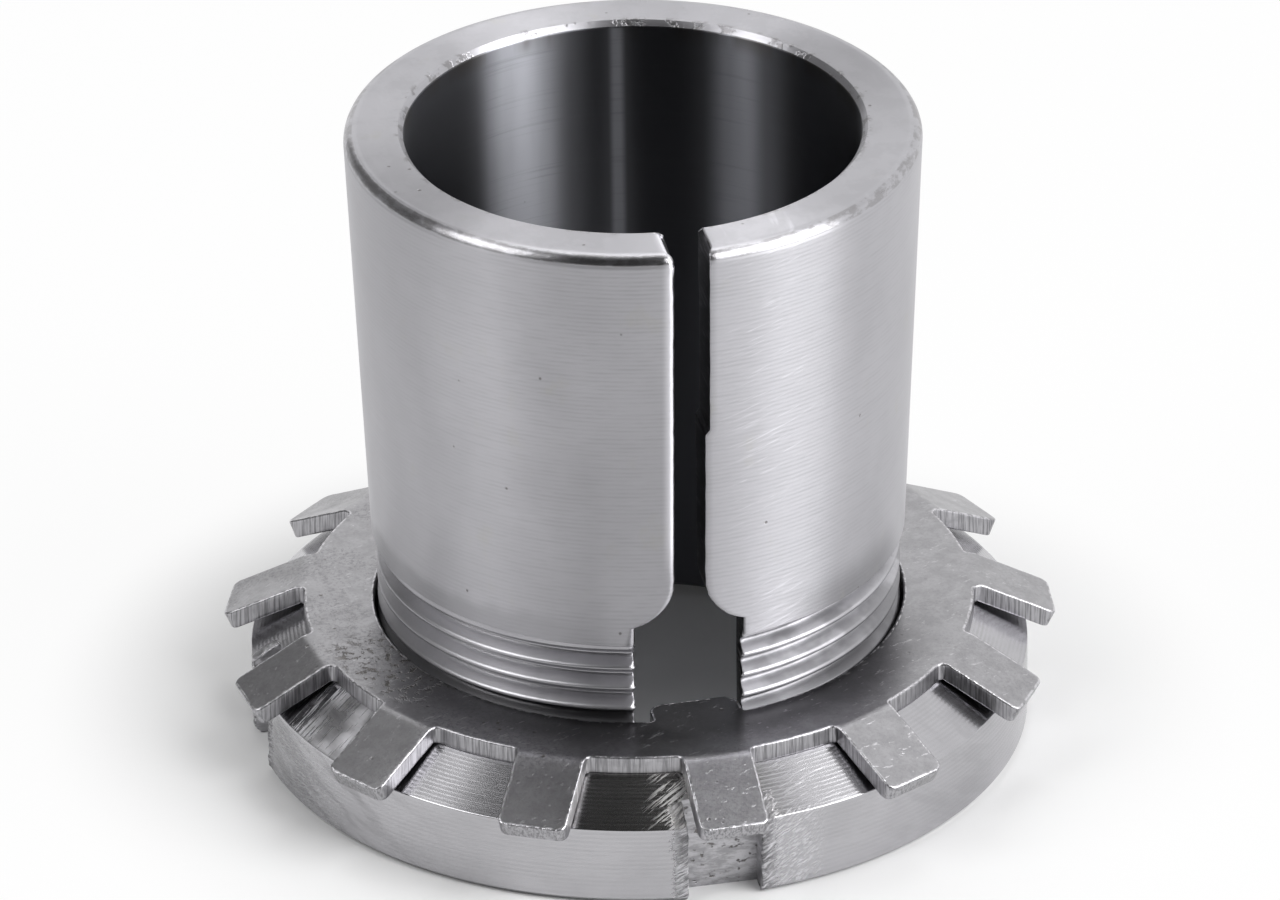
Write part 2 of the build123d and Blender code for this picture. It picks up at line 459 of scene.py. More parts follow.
def bore_steel(looks):
    """Bore: smooth, painted dark for the shade inside it and for oil, with painted reflections as lighter
    bands, faint tool rings and marks.
    """
    material, graph, shader = steel("bored_steel", looks.bore, anisotropic=1.0)
    x, y, z = graph.parts()
    streaks = graph.noise((0.05, 0.05, 2.5), 4.0, 0.7)
    bands = graph.noise((0.35, 0.35, 0.03), 3.0)
    marks = graph.specks(2.6, 0.10, 0.2)
    # The bore is painted dark for its shade and its oil, and lighter in bands that are painted reflections
    painted_reflections = places_round(x.math("ARCTAN2", y), PAINTED_REFLECTION_BANDS) * (bands * 0.6 + 0.7)
    grimy = z.ramp(SLEEVE_TOP - 1.9, SLEEVE_TOP - 0.4) * bands.ramp(0.4, 0.6)
    base = graph.mix(painted_reflections.clamped(), shade(looks.bore, 0.45), shade(looks.bore, 1.4))
    base = graph.mix(streaks.ramp(0.50, 0.68) * 0.25, base, shade(looks.bore, 0.5))
    base = graph.mix(grimy * 0.6, base, looks.grime)
    base = graph.mix(marks * 0.8, base, looks.grime)
    finish_with(graph, shader, base, 0.30 + streaks * 0.03 + bands * 0.06, streaks * 0.0006 - marks * 0.01)
    return material


def thread_steel(looks):
    """Thread: smooth flanks with fine rings, stained on the right, with oil and painted shade next to the
    washer.
    """
    material, graph, shader = steel("threaded_steel", looks.thread, anisotropic=0.3)
    turn, _, height = graph.around()
    streaks = graph.noise((0.06, 0.06, 9.0), 3.0, 0.6)
    grain = graph.noise((2.5, 2.5, 5.0), 3.0, 0.7)
    stains = graph.noise((0.25, 0.25, 0.25), 3.0)
    left, right = turn.ramp(0.3, -0.1) * off_back(turn), turn.ramp(0.2, 0.6) * off_back(turn)
    smoky = graph.noise((0.25, 0.25, 0.5), 3.0, 0.6).ramp(0.40, 0.58) * turn.ramp(0.05, 0.35)
    smoky = smoky * off_back(turn)
    # Painted shade, with oil, on the thread where it meets the washer
    left_gap_shade_and_oil = height.ramp(WASHER_TOP + 0.9, WASHER_TOP + 0.2) * left
    right_gap_shade_and_oil = height.ramp(WASHER_TOP + 2.0, WASHER_TOP + 0.5) * right
    base = graph.mix(stains.ramp(0.4, 0.75), looks.thread, shade(looks.thread, 0.85))
    base = graph.mix(grain.ramp(0.5, 0.75) * 0.2, base, shade(looks.thread, 0.7))
    base = graph.mix(smoky * 0.7, base, shade(looks.thread, 0.5))
    base = graph.mix(left_gap_shade_and_oil * 0.8, base, shade(looks.thread, 0.25))
    base = graph.mix(right_gap_shade_and_oil * 0.7, base, shade(looks.thread, 0.3))
    finish_with(graph, shader, base, 0.33 + grain * 0.12, streaks * 0.001 + grain * 0.0012)
    return material


def sawn_steel(looks):
    """Walls of the slit and the keyway: cut rough and dark, with marks across them."""
    material, graph, shader = steel("sawn_steel", shade(looks.turned, 0.4))
    marks = graph.noise((0.4, 0.4, 6.0), 4.0, 0.7)
    base = graph.mix(marks.ramp(0.5, 0.75), shade(looks.turned, 0.16), shade(looks.turned, 0.7))
    finish_with(graph, shader, base, 0.35 + marks * 0.2, marks * 0.03)
    return material


def sheet_steel(looks):
    """Faces of the washer: mottled rolled sheet with oil and painted shade round the hole, nicks, pits and
    bright edges.
    """
    material, graph, shader = steel("sheet_steel", looks.sheet)
    turn, radius, _ = graph.around()

    # The sheet's own grain, coarser on the left, and oil with painted shade round the hole in front, next
    # to the thread
    mottle = graph.noise((0.8, 0.8, 0.8), 5.0, 0.65)
    grain = graph.noise((4.5, 4.5, 4.5), 4.0, 0.75)
    clouds = graph.noise((0.13, 0.13, 0.13), 3.0)
    rough_patch = clouds.ramp(0.46, 0.56) * (turn.ramp(0.6, -0.6, 0.0, 0.85) * off_back(turn) + 0.15)
    uneven_radius = radius - clouds * 3
    oil_and_painted_shade = uneven_radius.ramp(21.0, 17.4) * turn.distance().ramp(1.5, 0.5)

    # Nicks, bright specks, rust pits and the worn edge
    nicks = graph.noise((0.9, 3.5, 3.5), 3.0, 0.7, (0, 0, math.radians(25))).ramp(0.62, 0.69)
    pits = graph.specks(1.05, 0.13, 0.3) * (rough_patch * 0.8 + 0.2)
    rusted = graph.noise((1.7, 1.7, 1.7), 4.0, 0.7).ramp(0.53, 0.60)
    rusted = rusted * places_round(turn, PITTED_RING) * uneven_radius.ramp(21.0, 19.5)
    burr = graph.margin().ramp(0.4, 1.0) * graph.noise((2.2, 2.2, 2.2), 3.0).ramp(0.40, 0.60)

    base = graph.mix(mottle.ramp(0.35, 0.65), shade(looks.sheet, 1.06), shade(looks.sheet, 0.89))
    base = graph.mix(grain.ramp(0.46, 0.62) * (rough_patch * 0.5 + 0.25), base, shade(looks.sheet, 0.6))
    # Oil with painted shade round the hole, in front
    base = graph.mix(oil_and_painted_shade * 0.8, base, shade(looks.sheet, 0.35))
    base = graph.mix(nicks * 0.35, base, shade(looks.sheet, 1.9))
    base = graph.mix(graph.specks(0.75, 0.08, 0.22) * 0.5, base, shade(looks.sheet, 1.7))
    base = graph.mix((pits + rusted * 0.9).clamped() * 0.8, base, looks.grime)
    base = graph.mix(burr * 0.75, base, shade(looks.sheet, 1.9))
    roughness = 0.26 + mottle * 0.06 + rough_patch * 0.07
    relief = mottle * 0.006 + grain * (rough_patch * 0.006 + 0.004) + nicks * 0.006
    relief = relief - (pits + rusted) * 0.03 + burr * 0.02
    finish_with(graph, shader, base, roughness, relief)
    return material


def sheared_steel(looks):
    """Edges of the washer: sheared, with lines down the sheet's thickness."""
    material, graph, shader = steel("sheared_steel", looks.sheared)
    lines = graph.noise((7.5, 7.5, 0.3), 3.0, 0.65)
    broken = graph.noise((0.5, 0.5, 0.9), 3.0)
    base = graph.mix(lines.ramp(0.36, 0.6), shade(looks.sheared, 0.5), shade(looks.sheared, 1.05))
    base = graph.mix(broken.ramp(0.55, 0.7) * 0.5, base, shade(looks.sheared, 0.65))
    finish_with(graph, shader, base, 0.26 + lines * 0.14, lines * 0.010 + broken * 0.02)
    return material


def milled_steel(looks):
    """Nut: coarse turned rings one feed apart, with hatched, scuffed and smeared places, a broad painted
    reflection on the cone and torn edges.
    """
    material, graph, shader = steel("milled_steel", looks.milled, anisotropic=0.45)
    turn, radius, height = graph.around()
    cone = height.ramp(CONE_FOOT - 0.1, CONE_FOOT + 0.1)

    # Turning lines, which climb the cone too, streaks round the nut and broad clouds
    feed = ((radius * CONE_RISE - height) * (FULL_TURN / NUT_FEED)).math("SINE")
    broken = graph.noise((0.25, 0.25, 1.2), 3.0, 0.65)
    streaks = graph.noise((0.07, 0.07, 5.0), 4.0, 0.7)
    clouds = graph.noise((0.15, 0.15, 0.15), 3.0, 0.6)

    # Hatching on the cone, widened at one place into a broad painted reflection, and scuffs and smears on
    # the rim
    rubbed = places_round(turn, RUBBED_CONE_AND_REFLECTION)
    hatch_and_reflection = graph.noise((0.35, 7.0, 0.5), 3.0, 0.65, (0, 0, math.radians(28)))
    hatch_and_reflection = (hatch_and_reflection + rubbed * 0.1).ramp(0.60, 0.65) * clouds.ramp(0.30, 0.50) * cone * rubbed.clamped()
    strokes = graph.noise((2.0, 2.0, 9.0), 4.0, 0.7, leaning(-28))
    on_rim = height.ramp(CONE_FOOT + 0.3, CONE_FOOT - 0.2)
    scuffed = places_round(turn, SCUFFED_RIM) * strokes.ramp(0.48, 0.62) * on_rim
    smears = graph.noise((0.2, 0.2, 1.1), 3.0, 0.6, leaning(32))
    smears = smears.ramp(0.45, 0.62) * places_round(turn, SMEARED_NUT)

    # Torn metal along the slots and a few dirty marks
    tears = graph.noise((0.9, 0.9, 5.5), 4.0, 0.7, leaning(-28))
    near = graph.margin()
    torn = (near + tears - 0.5).ramp(0.2, 0.7) * near.ramp(0.0, 0.15)
    marks = graph.specks(2.4, 0.12, 0.2)

    base = graph.mix(clouds.ramp(0.35, 0.7), looks.milled, shade(looks.milled, 0.9))
    base = graph.mix(smears * 0.6, base, shade(looks.milled, 0.55))
    base = graph.mix(broken.ramp(0.3, 0.7) * (feed * 0.5 + 0.5) * 0.7, base, shade(looks.milled, 0.83))
    # Hatch lines lighter, and one broad patch lighter as a painted reflection
    base = graph.mix(hatch_and_reflection * 0.9, base, shade(looks.milled, 1.6))
    base = graph.mix(cone * (turn + 0.12).distance().ramp(0.35, 0.15) * 0.4, base, looks.oil)
    base = graph.mix(scuffed * 0.7, base, shade(looks.milled, 1.5))
    base = graph.mix(tears.ramp(0.54, 0.42) * torn * 0.75, base, shade(looks.milled, 0.35))
    base = graph.mix(tears.ramp(0.52, 0.60) * torn * 0.6, base, shade(looks.milled, 1.6))
    base = graph.mix(marks * 0.8, base, looks.grime)
    roughness = 0.19 + streaks * 0.08 + torn * 0.2 + (hatch_and_reflection + scuffed).clamped() * 0.4
    relief = feed * (0.4 + broken) * 0.003 + streaks * 0.004 + hatch_and_reflection * 0.004
    relief = relief + torn * tears * 0.3 - marks * 0.02
    finish_with(graph, shader, base, roughness, relief)
    return material


def slot_steel(looks):
    """Slots of the nut: milled, grey, with dark pits."""
    material, graph, shader = steel("slotted_steel", looks.milled)
    marks = graph.noise((0.7, 0.7, 2.2), 5.0, 0.7)
    pits = graph.noise((1.6, 1.6, 2.4), 3.0, 0.6).ramp(0.60, 0.68)
    base = graph.mix(marks.ramp(0.40, 0.60), shade(looks.milled, 0.7), shade(looks.milled, 1.08))
    base = graph.mix(pits * 0.8, base, looks.grime)
    finish_with(graph, shader, base, 0.3 + marks * 0.2, marks * 0.02 - pits * 0.03)
    return material


class Shell:
    """A surface put together from grids and flat patches, with a region for each face."""

    # Edges between faces that turn by more than this stay sharp
    SHARP_ANGLE = math.radians(40)

    def __init__(self):
        self.points = []
        self.margins = []
        self.faces = []
        self.regions = []
        self.count = 0

    def add_points(self, points, margins=0.0):
        """Takes points with their nearness to a margin, and returns their numbers, in the same shape."""
        points = np.asarray(points, float)
        numbers = np.arange(self.count, self.count + points[..., 0].size)
        self.points.append(points.reshape(-1, 3))
        self.margins.append(np.broadcast_to(margins, points.shape[:-1]).ravel())
        self.count += len(numbers)
        return numbers.reshape(points.shape[:-1])

    def quads(self, numbers, regions, closed_rows=False):
        """Faces between the rows and columns of numbered points, with a region for each row."""
        grid = np.asarray(numbers)
        if closed_rows:
            grid = np.vstack([grid, grid[:1]])
        corners = (grid[:-1, :-1], grid[:-1, 1:], grid[1:, 1:], grid[1:, :-1])
        faces = np.stack(corners, axis=-1)
        each = np.broadcast_to(np.asarray(regions).reshape(-1, 1), faces.shape[:2])
        self.faces.extend(faces.reshape(-1, 4).tolist())
        self.regions.extend(each.ravel().tolist())

    def patch(self, numbers, region):
        """One flat face with many corners."""
        self.faces.append([int(number) for number in numbers])
        self.regions.append(region)

    def mesh(self, name):
        """The welded mesh, with smooth faces and sharp edges kept."""
        mesh = bpy.data.meshes.new(name)
        mesh.from_pydata(np.vstack(self.points).tolist(), [], self.faces)
        margin = mesh.attributes.new("margin", "FLOAT", "POINT")
        margin.data.foreach_set("value", np.concatenate(self.margins))
        region = mesh.attributes.new("region", "INT", "FACE")
        region.data.foreach_set("value", self.regions)
        work = bmesh.new()
        work.from_mesh(mesh)
        bmesh.ops.remove_doubles(work, verts=work.verts, dist=WELD / 2)
        bmesh.ops.dissolve_degenerate(work, edges=work.edges, dist=WELD / 40)
        bmesh.ops.recalc_face_normals(work, faces=work.faces)
        work.to_mesh(mesh)
        work.free()
        mesh.polygons.foreach_set("use_smooth", [True] * len(mesh.polygons))
        mesh.set_sharp_from_angle(angle=self.SHARP_ANGLE)
        return mesh


def round_steps(radius, count):
    """Distances from a wall and drops from a face along a rounded edge, from the wall inwards."""
    turn = np.linspace(0, math.pi / 2, count)
    return radius * (1 - np.cos(turn)), radius * (1 - np.sin(turn))


def new_tree(name, inputs):
    """A geometry tree with named inputs, its graph and the inputs' wires."""
    tree = bpy.data.node_groups.new(name, "GeometryNodeTree")
    tree.interface.new_socket(name="Geometry", in_out="INPUT", socket_type="NodeSocketGeometry")
    for label, socket_kind in inputs.items():
        tree.interface.new_socket(name=label, in_out="INPUT", socket_type=f"NodeSocket{socket_kind}")
    tree.interface.new_socket(name="Geometry", in_out="OUTPUT", socket_type="NodeSocketGeometry")
    graph = Graph(tree)
    start = graph.add("NodeGroupInput", {}, {})
    return tree, graph, {label: start.output(label) for label in ("Geometry", *inputs)}


def end_tree(graph, geometry, materials):
    """Realises what the tree made, gives each region its material and closes the tree."""
    geometry = graph.add("GeometryNodeRealizeInstances", {}, {"Geometry": geometry})
    for region, material in materials.items():
        values = {"A": graph.attribute("region", "INT"), "B": region}
        chosen = graph.add("FunctionNodeCompare", {"data_type": "INT", "operation": "EQUAL"}, values)
        values = {"Geometry": geometry, "Selection": chosen, "Material": material}
        geometry = graph.add("GeometryNodeSetMaterial", {}, values)
    end = graph.tree.nodes.new("NodeGroupOutput")
    graph.tree.links.new(geometry.socket, end.inputs[0])


def apply_tree(piece, tree, values):
    """Runs a geometry tree on a piece and keeps the result as its plain mesh."""
    modifier = piece.modifiers.new(tree.name, "NODES")
    modifier.node_group = tree
    for item in tree.interface.items_tree:
        if item.in_out == "INPUT" and item.name in values:
            modifier[item.identifier] = values[item.name]
    depsgraph = bpy.context.evaluated_depsgraph_get()
    made = bpy.data.meshes.new_from_object(
        piece.evaluated_get(depsgraph), preserve_all_data_layers=True, depsgraph=depsgraph
    )
    piece.modifiers.remove(modifier)
    old = piece.data
    piece.data = made
    bpy.data.meshes.remove(old)


def rounded(corners, radii, steps):
    """A profile's points with an arc of the given radius at each inner corner."""
    points = [np.array(corners[0], float)]
    for before, corner, after, radius in zip(corners[:-2], corners[1:-1], corners[2:], radii):
        corner = np.array(corner, float)
        first = (np.array(before) - corner) / np.linalg.norm(np.array(before) - corner)
        last = (np.array(after) - corner) / np.linalg.norm(np.array(after) - corner)
        half = math.acos(float(np.clip(first @ last, -1, 1))) / 2
        centre = corner + (first + last) / np.linalg.norm(first + last) * radius / math.sin(half)
        start, end = (corner + way * radius / math.tan(half) - centre for way in (first, last))
        sweep = math.pi - 2 * half
        for share in np.linspace(0, 1, steps):
            weights = math.sin((1 - share) * sweep), math.sin(share * sweep)
            points.append(centre + (start * weights[0] + end * weights[1]) / math.sin(sweep))
    points.append(np.array(corners[-1], float))
    return np.array(points)


def divided(points, spacing):
    """A profile with points added so that none lie further apart than the spacing."""
    parts = [points[:1]]
    for start, end in zip(points[:-1], points[1:]):
        count = max(1, math.ceil(np.linalg.norm(end - start) / spacing))
        shares = np.linspace(0, 1, count + 1)[1:, None]
        parts.append(start + (end - start) * shares)
    return np.vstack(parts)


def profile_normals(points):
    """Unit normals of a profile of radius and height, to the left of its direction."""
    way = np.gradient(points, axis=0)
    normals = np.column_stack([way[:, 1], -way[:, 0]])
    return normals / np.linalg.norm(normals, axis=1, keepdims=True)


def round_axis(radius, turn_angle, height):
    """Points at a radius, an angle from the slit and a height."""
    parts = (radius * np.sin(turn_angle), -radius * np.cos(turn_angle), height + 0 * turn_angle)
    return np.stack(np.broadcast_arrays(*parts), axis=-1)


# Ways that a surface of a profile faces, along the radius and the axis
OUTWARDS, INWARDS, DOWN = (1, 0), (-1, 0), (0, -1)


class SleeveWall:
    """The sleeve's section carried round the axis from one wall of the slit to the other."""

    # The slit's walls wander a little from row to row, and its wider cut begins with a short slope
    RAGGED = 0.012 * MM
    STEP_SLOPE = 0.4 * MM

    # The thread's crests stand out into the keyway as burrs, which fall off beside the crest
    BURR = 0.11 * MM
    BURR_FALL = 0.8

    # The foot of the seat stands over the thread by a small edge, and the last crest stays below it
    FOOT_EDGE = 0.06 * MM
    CREST_GAP = 0.02 * MM

    # The bore's edge at the threaded end is broken a little
    END_EDGE = 0.3 * MM

    def __init__(self, size):
        self.size = size
        self.end = SLEEVE_LOW.z
        self.top = SLEEVE_HIGH.z
        self.bore_top = self.top - 1.5 * size.bore_edge
        self.thread_top = self.end + size.thread_length
        self.shoulder_top = self.end + size.keyway_length
        self.shoulder_sweep = math.acos(1 - (size.keyway_half - size.slit_half) / size.shoulder_radius)
        self.shoulder_foot = self.shoulder_top - size.shoulder_radius * math.sin(self.shoulder_sweep)
        self.round, self.drop = round_steps(1.0, 5)
        self.chance = np.random.default_rng(11)
        self.rows = []

    def half_width(self, height, right):
        """Half the width of the slit or the keyway at a height."""
        size = self.size
        corner_foot = self.top - size.slit_corner
        if height > corner_foot:
            rise = min(height - corner_foot, size.slit_corner)
            half = size.slit_half + size.slit_corner - math.sqrt(size.slit_corner**2 - rise**2)
        elif height >= self.shoulder_top:
            half = size.slit_half
        elif height > self.shoulder_foot:
            fall = self.shoulder_top - height
            radius = size.shoulder_radius
            half = size.slit_half + radius - math.sqrt(radius**2 - fall**2)
        else:
            half = size.keyway_half
        step_foot = self.top - size.saw_step_depth
        if right and height > step_foot:
            half += size.saw_step * min(1.0, (height - step_foot) / self.STEP_SLOPE)
        return half

    def row(self, radius, height, normal, region, burr=0.0):
        """One row round the sleeve, whose height may follow the angle and whose radius the height."""
        size = self.size
        count = size.columns
        worn = size.edge_round if region in (BORE, SAWN) else size.worn_round
        middle_height = height(0.5) if callable(height) else height
        halves = [self.half_width(middle_height, right) for right in (True, False)]
        ragged = self.chance.normal(0, self.RAGGED, 2)
        halves = [half - burr + rag for half, rag in zip(halves, ragged)]
        rounds = size.edge_round, worn
        near = size.crest_radius if callable(radius) else radius
        angles = self.angles(near, halves, rounds)
        heights = height(angles / FULL_TURN) if callable(height) else np.full(len(angles), height)
        radii = radius(heights) if callable(radius) else np.full(len(angles), radius)
        angles = self.angles(radii, halves, rounds)
        drops = np.concatenate([size.edge_round * self.drop, np.zeros(count), worn * self.drop[::-1]])
        points = round_axis(radii - normal[0] * drops, angles, heights - normal[1] * drops)
        self.rows.append((points, region))

    def angles(self, radius, halves, rounds):
        """Angles of a row's points, closest along the two walls, whose edges are rounded."""
        count = self.size.columns
        steps = len(self.round)
        radius = np.broadcast_to(radius, count + 2 * steps)
        right = np.arcsin((halves[0] + rounds[0] * self.round) / radius[:steps])
        left = FULL_TURN - np.arcsin((halves[1] + rounds[1] * self.round[::-1]) / radius[-steps:])
        middle = np.linspace(right[-1], left[0], count + 2)[1:-1]
        return np.concatenate([right, middle, left])

    def seat_radius(self, height):
        """Outer radius of the tapered seat at a height."""
        return self.size.large_end_radius - (self.top - height) * self.size.taper / 2

    def thread_rows(self):
        """Rows from the chamfered end over the thread, which climb with its groove."""
        size = self.size
        pitch, crest, end = size.pitch, size.crest_radius, self.end
        cells = round((size.groove_height - end - size.end_chamfer) / pitch)
        low = size.groove_height - (cells - 0.5) * pitch
        high = size.groove_height + 0.5 * pitch
        reach = 0.97 * pitch
        limit = self.thread_top - self.CREST_GAP - high

        def end_radius(height):
            return np.minimum(crest, crest - size.end_chamfer + height - end)

        def climbing(start, rise):
            return lambda turn: start + rise * turn

        def closing_up(share):
            return lambda turn: high + pitch * turn + share * np.minimum(reach, limit - pitch * turn)

        for share in np.linspace(0, 1, 26)[:-1]:
            self.row(end_radius, climbing(end + share * (low - end), share * pitch), OUTWARDS, THREAD)
        for step in np.linspace(0, cells, 16 * cells + 1):
            off_crest = abs(step - round(step)) * pitch
            burr = max(0.0, self.BURR - self.BURR_FALL * off_crest)
            self.row(crest, climbing(low + pitch * step, pitch), OUTWARDS, THREAD, burr)
        for share in np.linspace(0, 1, 18)[1:]:
            self.row(crest, closing_up(share), OUTWARDS, THREAD)
        self.row(crest, self.thread_top, OUTWARDS, THREAD)

    def seat_heights(self):
        """Heights of the seat's rows, closest along the keyway's shoulders and at the saw step."""
        size = self.size
        turn = np.linspace(self.shoulder_sweep, 0, 22)
        shoulder = self.shoulder_top - size.shoulder_radius * np.sin(turn)
        straight = np.linspace(self.shoulder_top, self.top - size.rim_round, 34)[1:]
        step_foot = self.top - size.saw_step_depth
        at_step = step_foot + np.array([0.0, 0.1, 0.3, 0.4]) * MM
        return np.concatenate([shoulder, np.sort(np.concatenate([straight, at_step]))])

    def cap_rows(self, seat_top):
        """Rows over the rounded rim, the end face and the bore's chamfer."""
        size = self.size
        bore, edge = size.bore_radius, size.bore_edge
        corners = [
            (self.seat_radius(seat_top), seat_top + TINY / 10),
            (size.large_end_radius, self.top),
            (bore + edge, self.top),
            (bore, self.top - edge),
            (bore, self.bore_top),
        ]
        cap = divided(rounded(corners, [0.94 * size.rim_round, 0.1 * MM, 0.2 * MM], 9), 0.8 * MM)
        for (radius, height), normal in zip(cap, profile_normals(cap)):
            self.row(radius, height, normal, TURNED if radius > bore + 0.4 * edge else BORE)

    def build(self):
        """The closed sleeve as a shell, before its thread is cut."""
        size = self.size
        bore = size.bore_radius
        self.thread_rows()
        seat_foot = self.seat_radius(self.thread_top)
        self.row(seat_foot - self.FOOT_EDGE, self.thread_top, OUTWARDS, THREAD)
        self.row(seat_foot, self.thread_top + self.FOOT_EDGE, OUTWARDS, TURNED)
        first_seat = len(self.rows)
        heights = self.seat_heights()
        for height in heights:
            self.row(self.seat_radius(height), height, OUTWARDS, TURNED)
        self.cap_rows(heights[-1])
        first_bore = len(self.rows)
        inner = heights[heights < self.bore_top - TINY]
        for height in inner[::-1]:
            self.row(bore, height, INWARDS, BORE)
        last_seat, last_bore = first_seat + len(inner) - 1, len(self.rows) - 1
        for height in np.linspace(self.shoulder_foot, self.end + self.END_EDGE, 9)[1:]:
            self.row(bore, height, INWARDS, BORE)
        self.row(bore + self.END_EDGE, self.end, DOWN, SAWN)
        self.row(size.crest_radius - size.end_chamfer - 0.1 * MM, self.end, DOWN, SAWN)
        return self.close(first_seat, last_seat, first_bore, last_bore)

    def close(self, first_seat, last_seat, first_bore, last_bore):
        """Joins the rows and caps the section at both walls."""
        shell = Shell()
        points = np.array([row[0] for row in self.rows])
        steps = len(self.round)
        beside = np.zeros(points.shape[:2])
        beside[:, :steps] = beside[:, -steps:] = 1.0
        numbers = shell.add_points(points, beside)
        shell.quads(numbers, [row[1] for row in self.rows], closed_rows=True)
        for column in (0, -1):
            wall = numbers[:, column]
            outer = wall[first_seat : last_seat + 1]
            inner = wall[first_bore : last_bore + 1][::-1]
            shell.quads([outer, inner], [SAWN])
            shell.patch(wall[last_seat : first_bore + 1], SAWN)
            shell.patch([*wall[last_bore:], *wall[: first_seat + 1]], SAWN)
        return shell


# Section of the thread: half the mouth as a share of the pitch, slope of the flanks, and roundings
MOUTH_SHARE = 7 / 16
FLANK_SLOPE = math.radians(60)
ROOT_ROUND = 0.4 * MM
CREST_ROUND = 0.05 * MM

# Points that the thread may move lie this far within the crest, or this little past it
CUT_REACH = 1.4 * MM
CUT_SLACK = 0.05 * MM


def thread_tree(materials):
    """Cuts a helical groove into a round wall, outside or in a bore."""
    inputs = dict.fromkeys(
        ("Pitch", "Crest Radius", "Groove Depth", "Groove Height", "Top", "Side", "Run Out"), "Float"
    )
    tree, graph, given = new_tree("thread", inputs)
    position = graph.add("GeometryNodeInputPosition", {}, {})
    x = graph.add("ShaderNodeSeparateXYZ", {}, {"Vector": position}, "X")
    y, z = x.output("Y"), x.output("Z")
    radius = (x * x + y * y).math("SQRT")
    turn = (x.math("ARCTAN2", -y) / FULL_TURN).fraction()
    groove = (z - given["Groove Height"]) / given["Pitch"] - turn
    beside = ((groove + 0.5).fraction() - 0.5).distance() * given["Pitch"]
    mouth = given["Pitch"] * MOUTH_SHARE
    flanks = (mouth - beside) * math.tan(FLANK_SLOPE)
    depth = flanks.math("SMOOTH_MIN", given["Groove Depth"], ROOT_ROUND)
    depth = depth.math("SMOOTH_MAX", 0.0, CREST_ROUND)
    past_last = groove.math("GREATER_THAN", 0.5) * given["Run Out"]
    share = 1 - past_last * turn.ramp(0.25, 0.75)
    side = given["Side"]
    target = side * given["Crest Radius"] - depth * share
    cut = (side * radius - target).math("MAXIMUM", 0.0)
    free = 1 - graph.attribute("margin")
    across = graph.add("ShaderNodeCombineXYZ", {}, {"X": x / radius * free, "Y": y / radius})
    values = {"Vector": across, "Scale": -(side * cut)}
    offset = graph.add("ShaderNodeVectorMath", {"operation": "SCALE"}, values)
    off_crest = side * radius - side * given["Crest Radius"]
    near = off_crest.math("GREATER_THAN", -CUT_REACH) * off_crest.math("LESS_THAN", CUT_SLACK)
    chosen = near * z.math("LESS_THAN", given["Top"])
    values = {"Geometry": given["Geometry"], "Selection": chosen, "Offset": offset}
    geometry = graph.add("GeometryNodeSetPosition", {}, values)
    end_tree(graph, geometry, materials)
    return tree


# Tears in a millimetre of a torn edge, and the noise at which the edge keeps its place
TEARS_PER_MM = 2.2
TORN_LEVEL = 0.42


def ring_tree(name, materials, with_first):
    """Repeats a sector round the axis and welds the copies into one ring."""
    inputs = {"Count": "Int", "Turn": "Float", "Burr": "Float"}
    if with_first:
        inputs["First"] = "Object"
    tree, graph, given = new_tree(name, inputs)
    points = graph.add("GeometryNodePoints", {}, {"Count": given["Count"]})
    index = graph.add("GeometryNodeInputIndex", {}, {})
    turned = index * FULL_TURN / given["Count"] + given["Turn"]
    euler = graph.add("ShaderNodeCombineXYZ", {}, {"Z": turned})
    rotation = graph.add("FunctionNodeEulerToRotation", {}, {0: euler})
    values = {"Points": points, "Instance": given["Geometry"], "Rotation": rotation}
    if with_first:
        values["Selection"] = index.math("GREATER_THAN", 0.5)
    ring = graph.add("GeometryNodeInstanceOnPoints", {}, values)
    if with_first:
        first = graph.add("GeometryNodeObjectInfo", {}, {"Object": given["First"]}, "Geometry")
        values = {"Points": points, "Instance": first, "Rotation": rotation}
        values["Selection"] = index.math("LESS_THAN", 0.5)
        first = graph.add("GeometryNodeInstanceOnPoints", {}, values)
        ring = graph.join(ring, first)
    solid = graph.add("GeometryNodeRealizeInstances", {}, {"Geometry": ring})
    welded = graph.add("GeometryNodeMergeByDistance", {}, {"Geometry": solid, "Distance": WELD})
    torn = graph.add("ShaderNodeTexNoise", {}, {"Scale": TEARS_PER_MM / MM, "Detail": 2.0})
    normal = graph.add("GeometryNodeInputNormal", {}, {})
    scale = (torn - TORN_LEVEL) * graph.attribute("margin") * given["Burr"] * 2
    level = graph.add("ShaderNodeVectorMath", {"operation": "MULTIPLY"}, {0: normal, 1: (1, 1, 0)})
    offset = graph.add("ShaderNodeVectorMath", {"operation": "SCALE"}, {"Vector": level, "Scale": scale})
    values = {"Geometry": welded, "Offset": offset}
    geometry = graph.add("GeometryNodeSetPosition", {}, values)
    end_tree(graph, geometry, materials)
    return tree


def arc_points(centre, radius, start, end, count):
    """Points on an arc in the plane, from one angle to another."""
    turn = np.linspace(start, end, count)
    return np.column_stack([centre[0] + radius * np.cos(turn), centre[1] + radius * np.sin(turn)])


def tab_outline(size, sector):
    """Outer outline of one washer sector, with its tab along +X."""
    root, corner, half = size.root_radius, size.root_corner, size.tab_half
    foot = math.sqrt((root + corner) ** 2 - (half + corner) ** 2)
    lean = math.atan2(half + corner, foot)
    ring_arc = arc_points((0, 0), root, -sector / 2, -lean, 12)
    foot_arc = arc_points((foot, -half - corner), corner, math.pi - lean, math.pi / 2, 8)
    tip = size.fold_start + size.fold_radius * size.fold_angle + size.tip_length
    straight = tip - size.tab_corner - foot
    side = np.array([[foot + straight * share, -half] for share in np.linspace(0, 1, 10)[1:-1]])
    corner = size.tab_corner
    tip_corner = arc_points((tip - corner, -half + corner), corner, -math.pi / 2, 0, 7)
    lower = np.vstack([ring_arc, foot_arc[1:], side, tip_corner])
    return np.vstack([lower, lower[::-1] * (1, -1)])


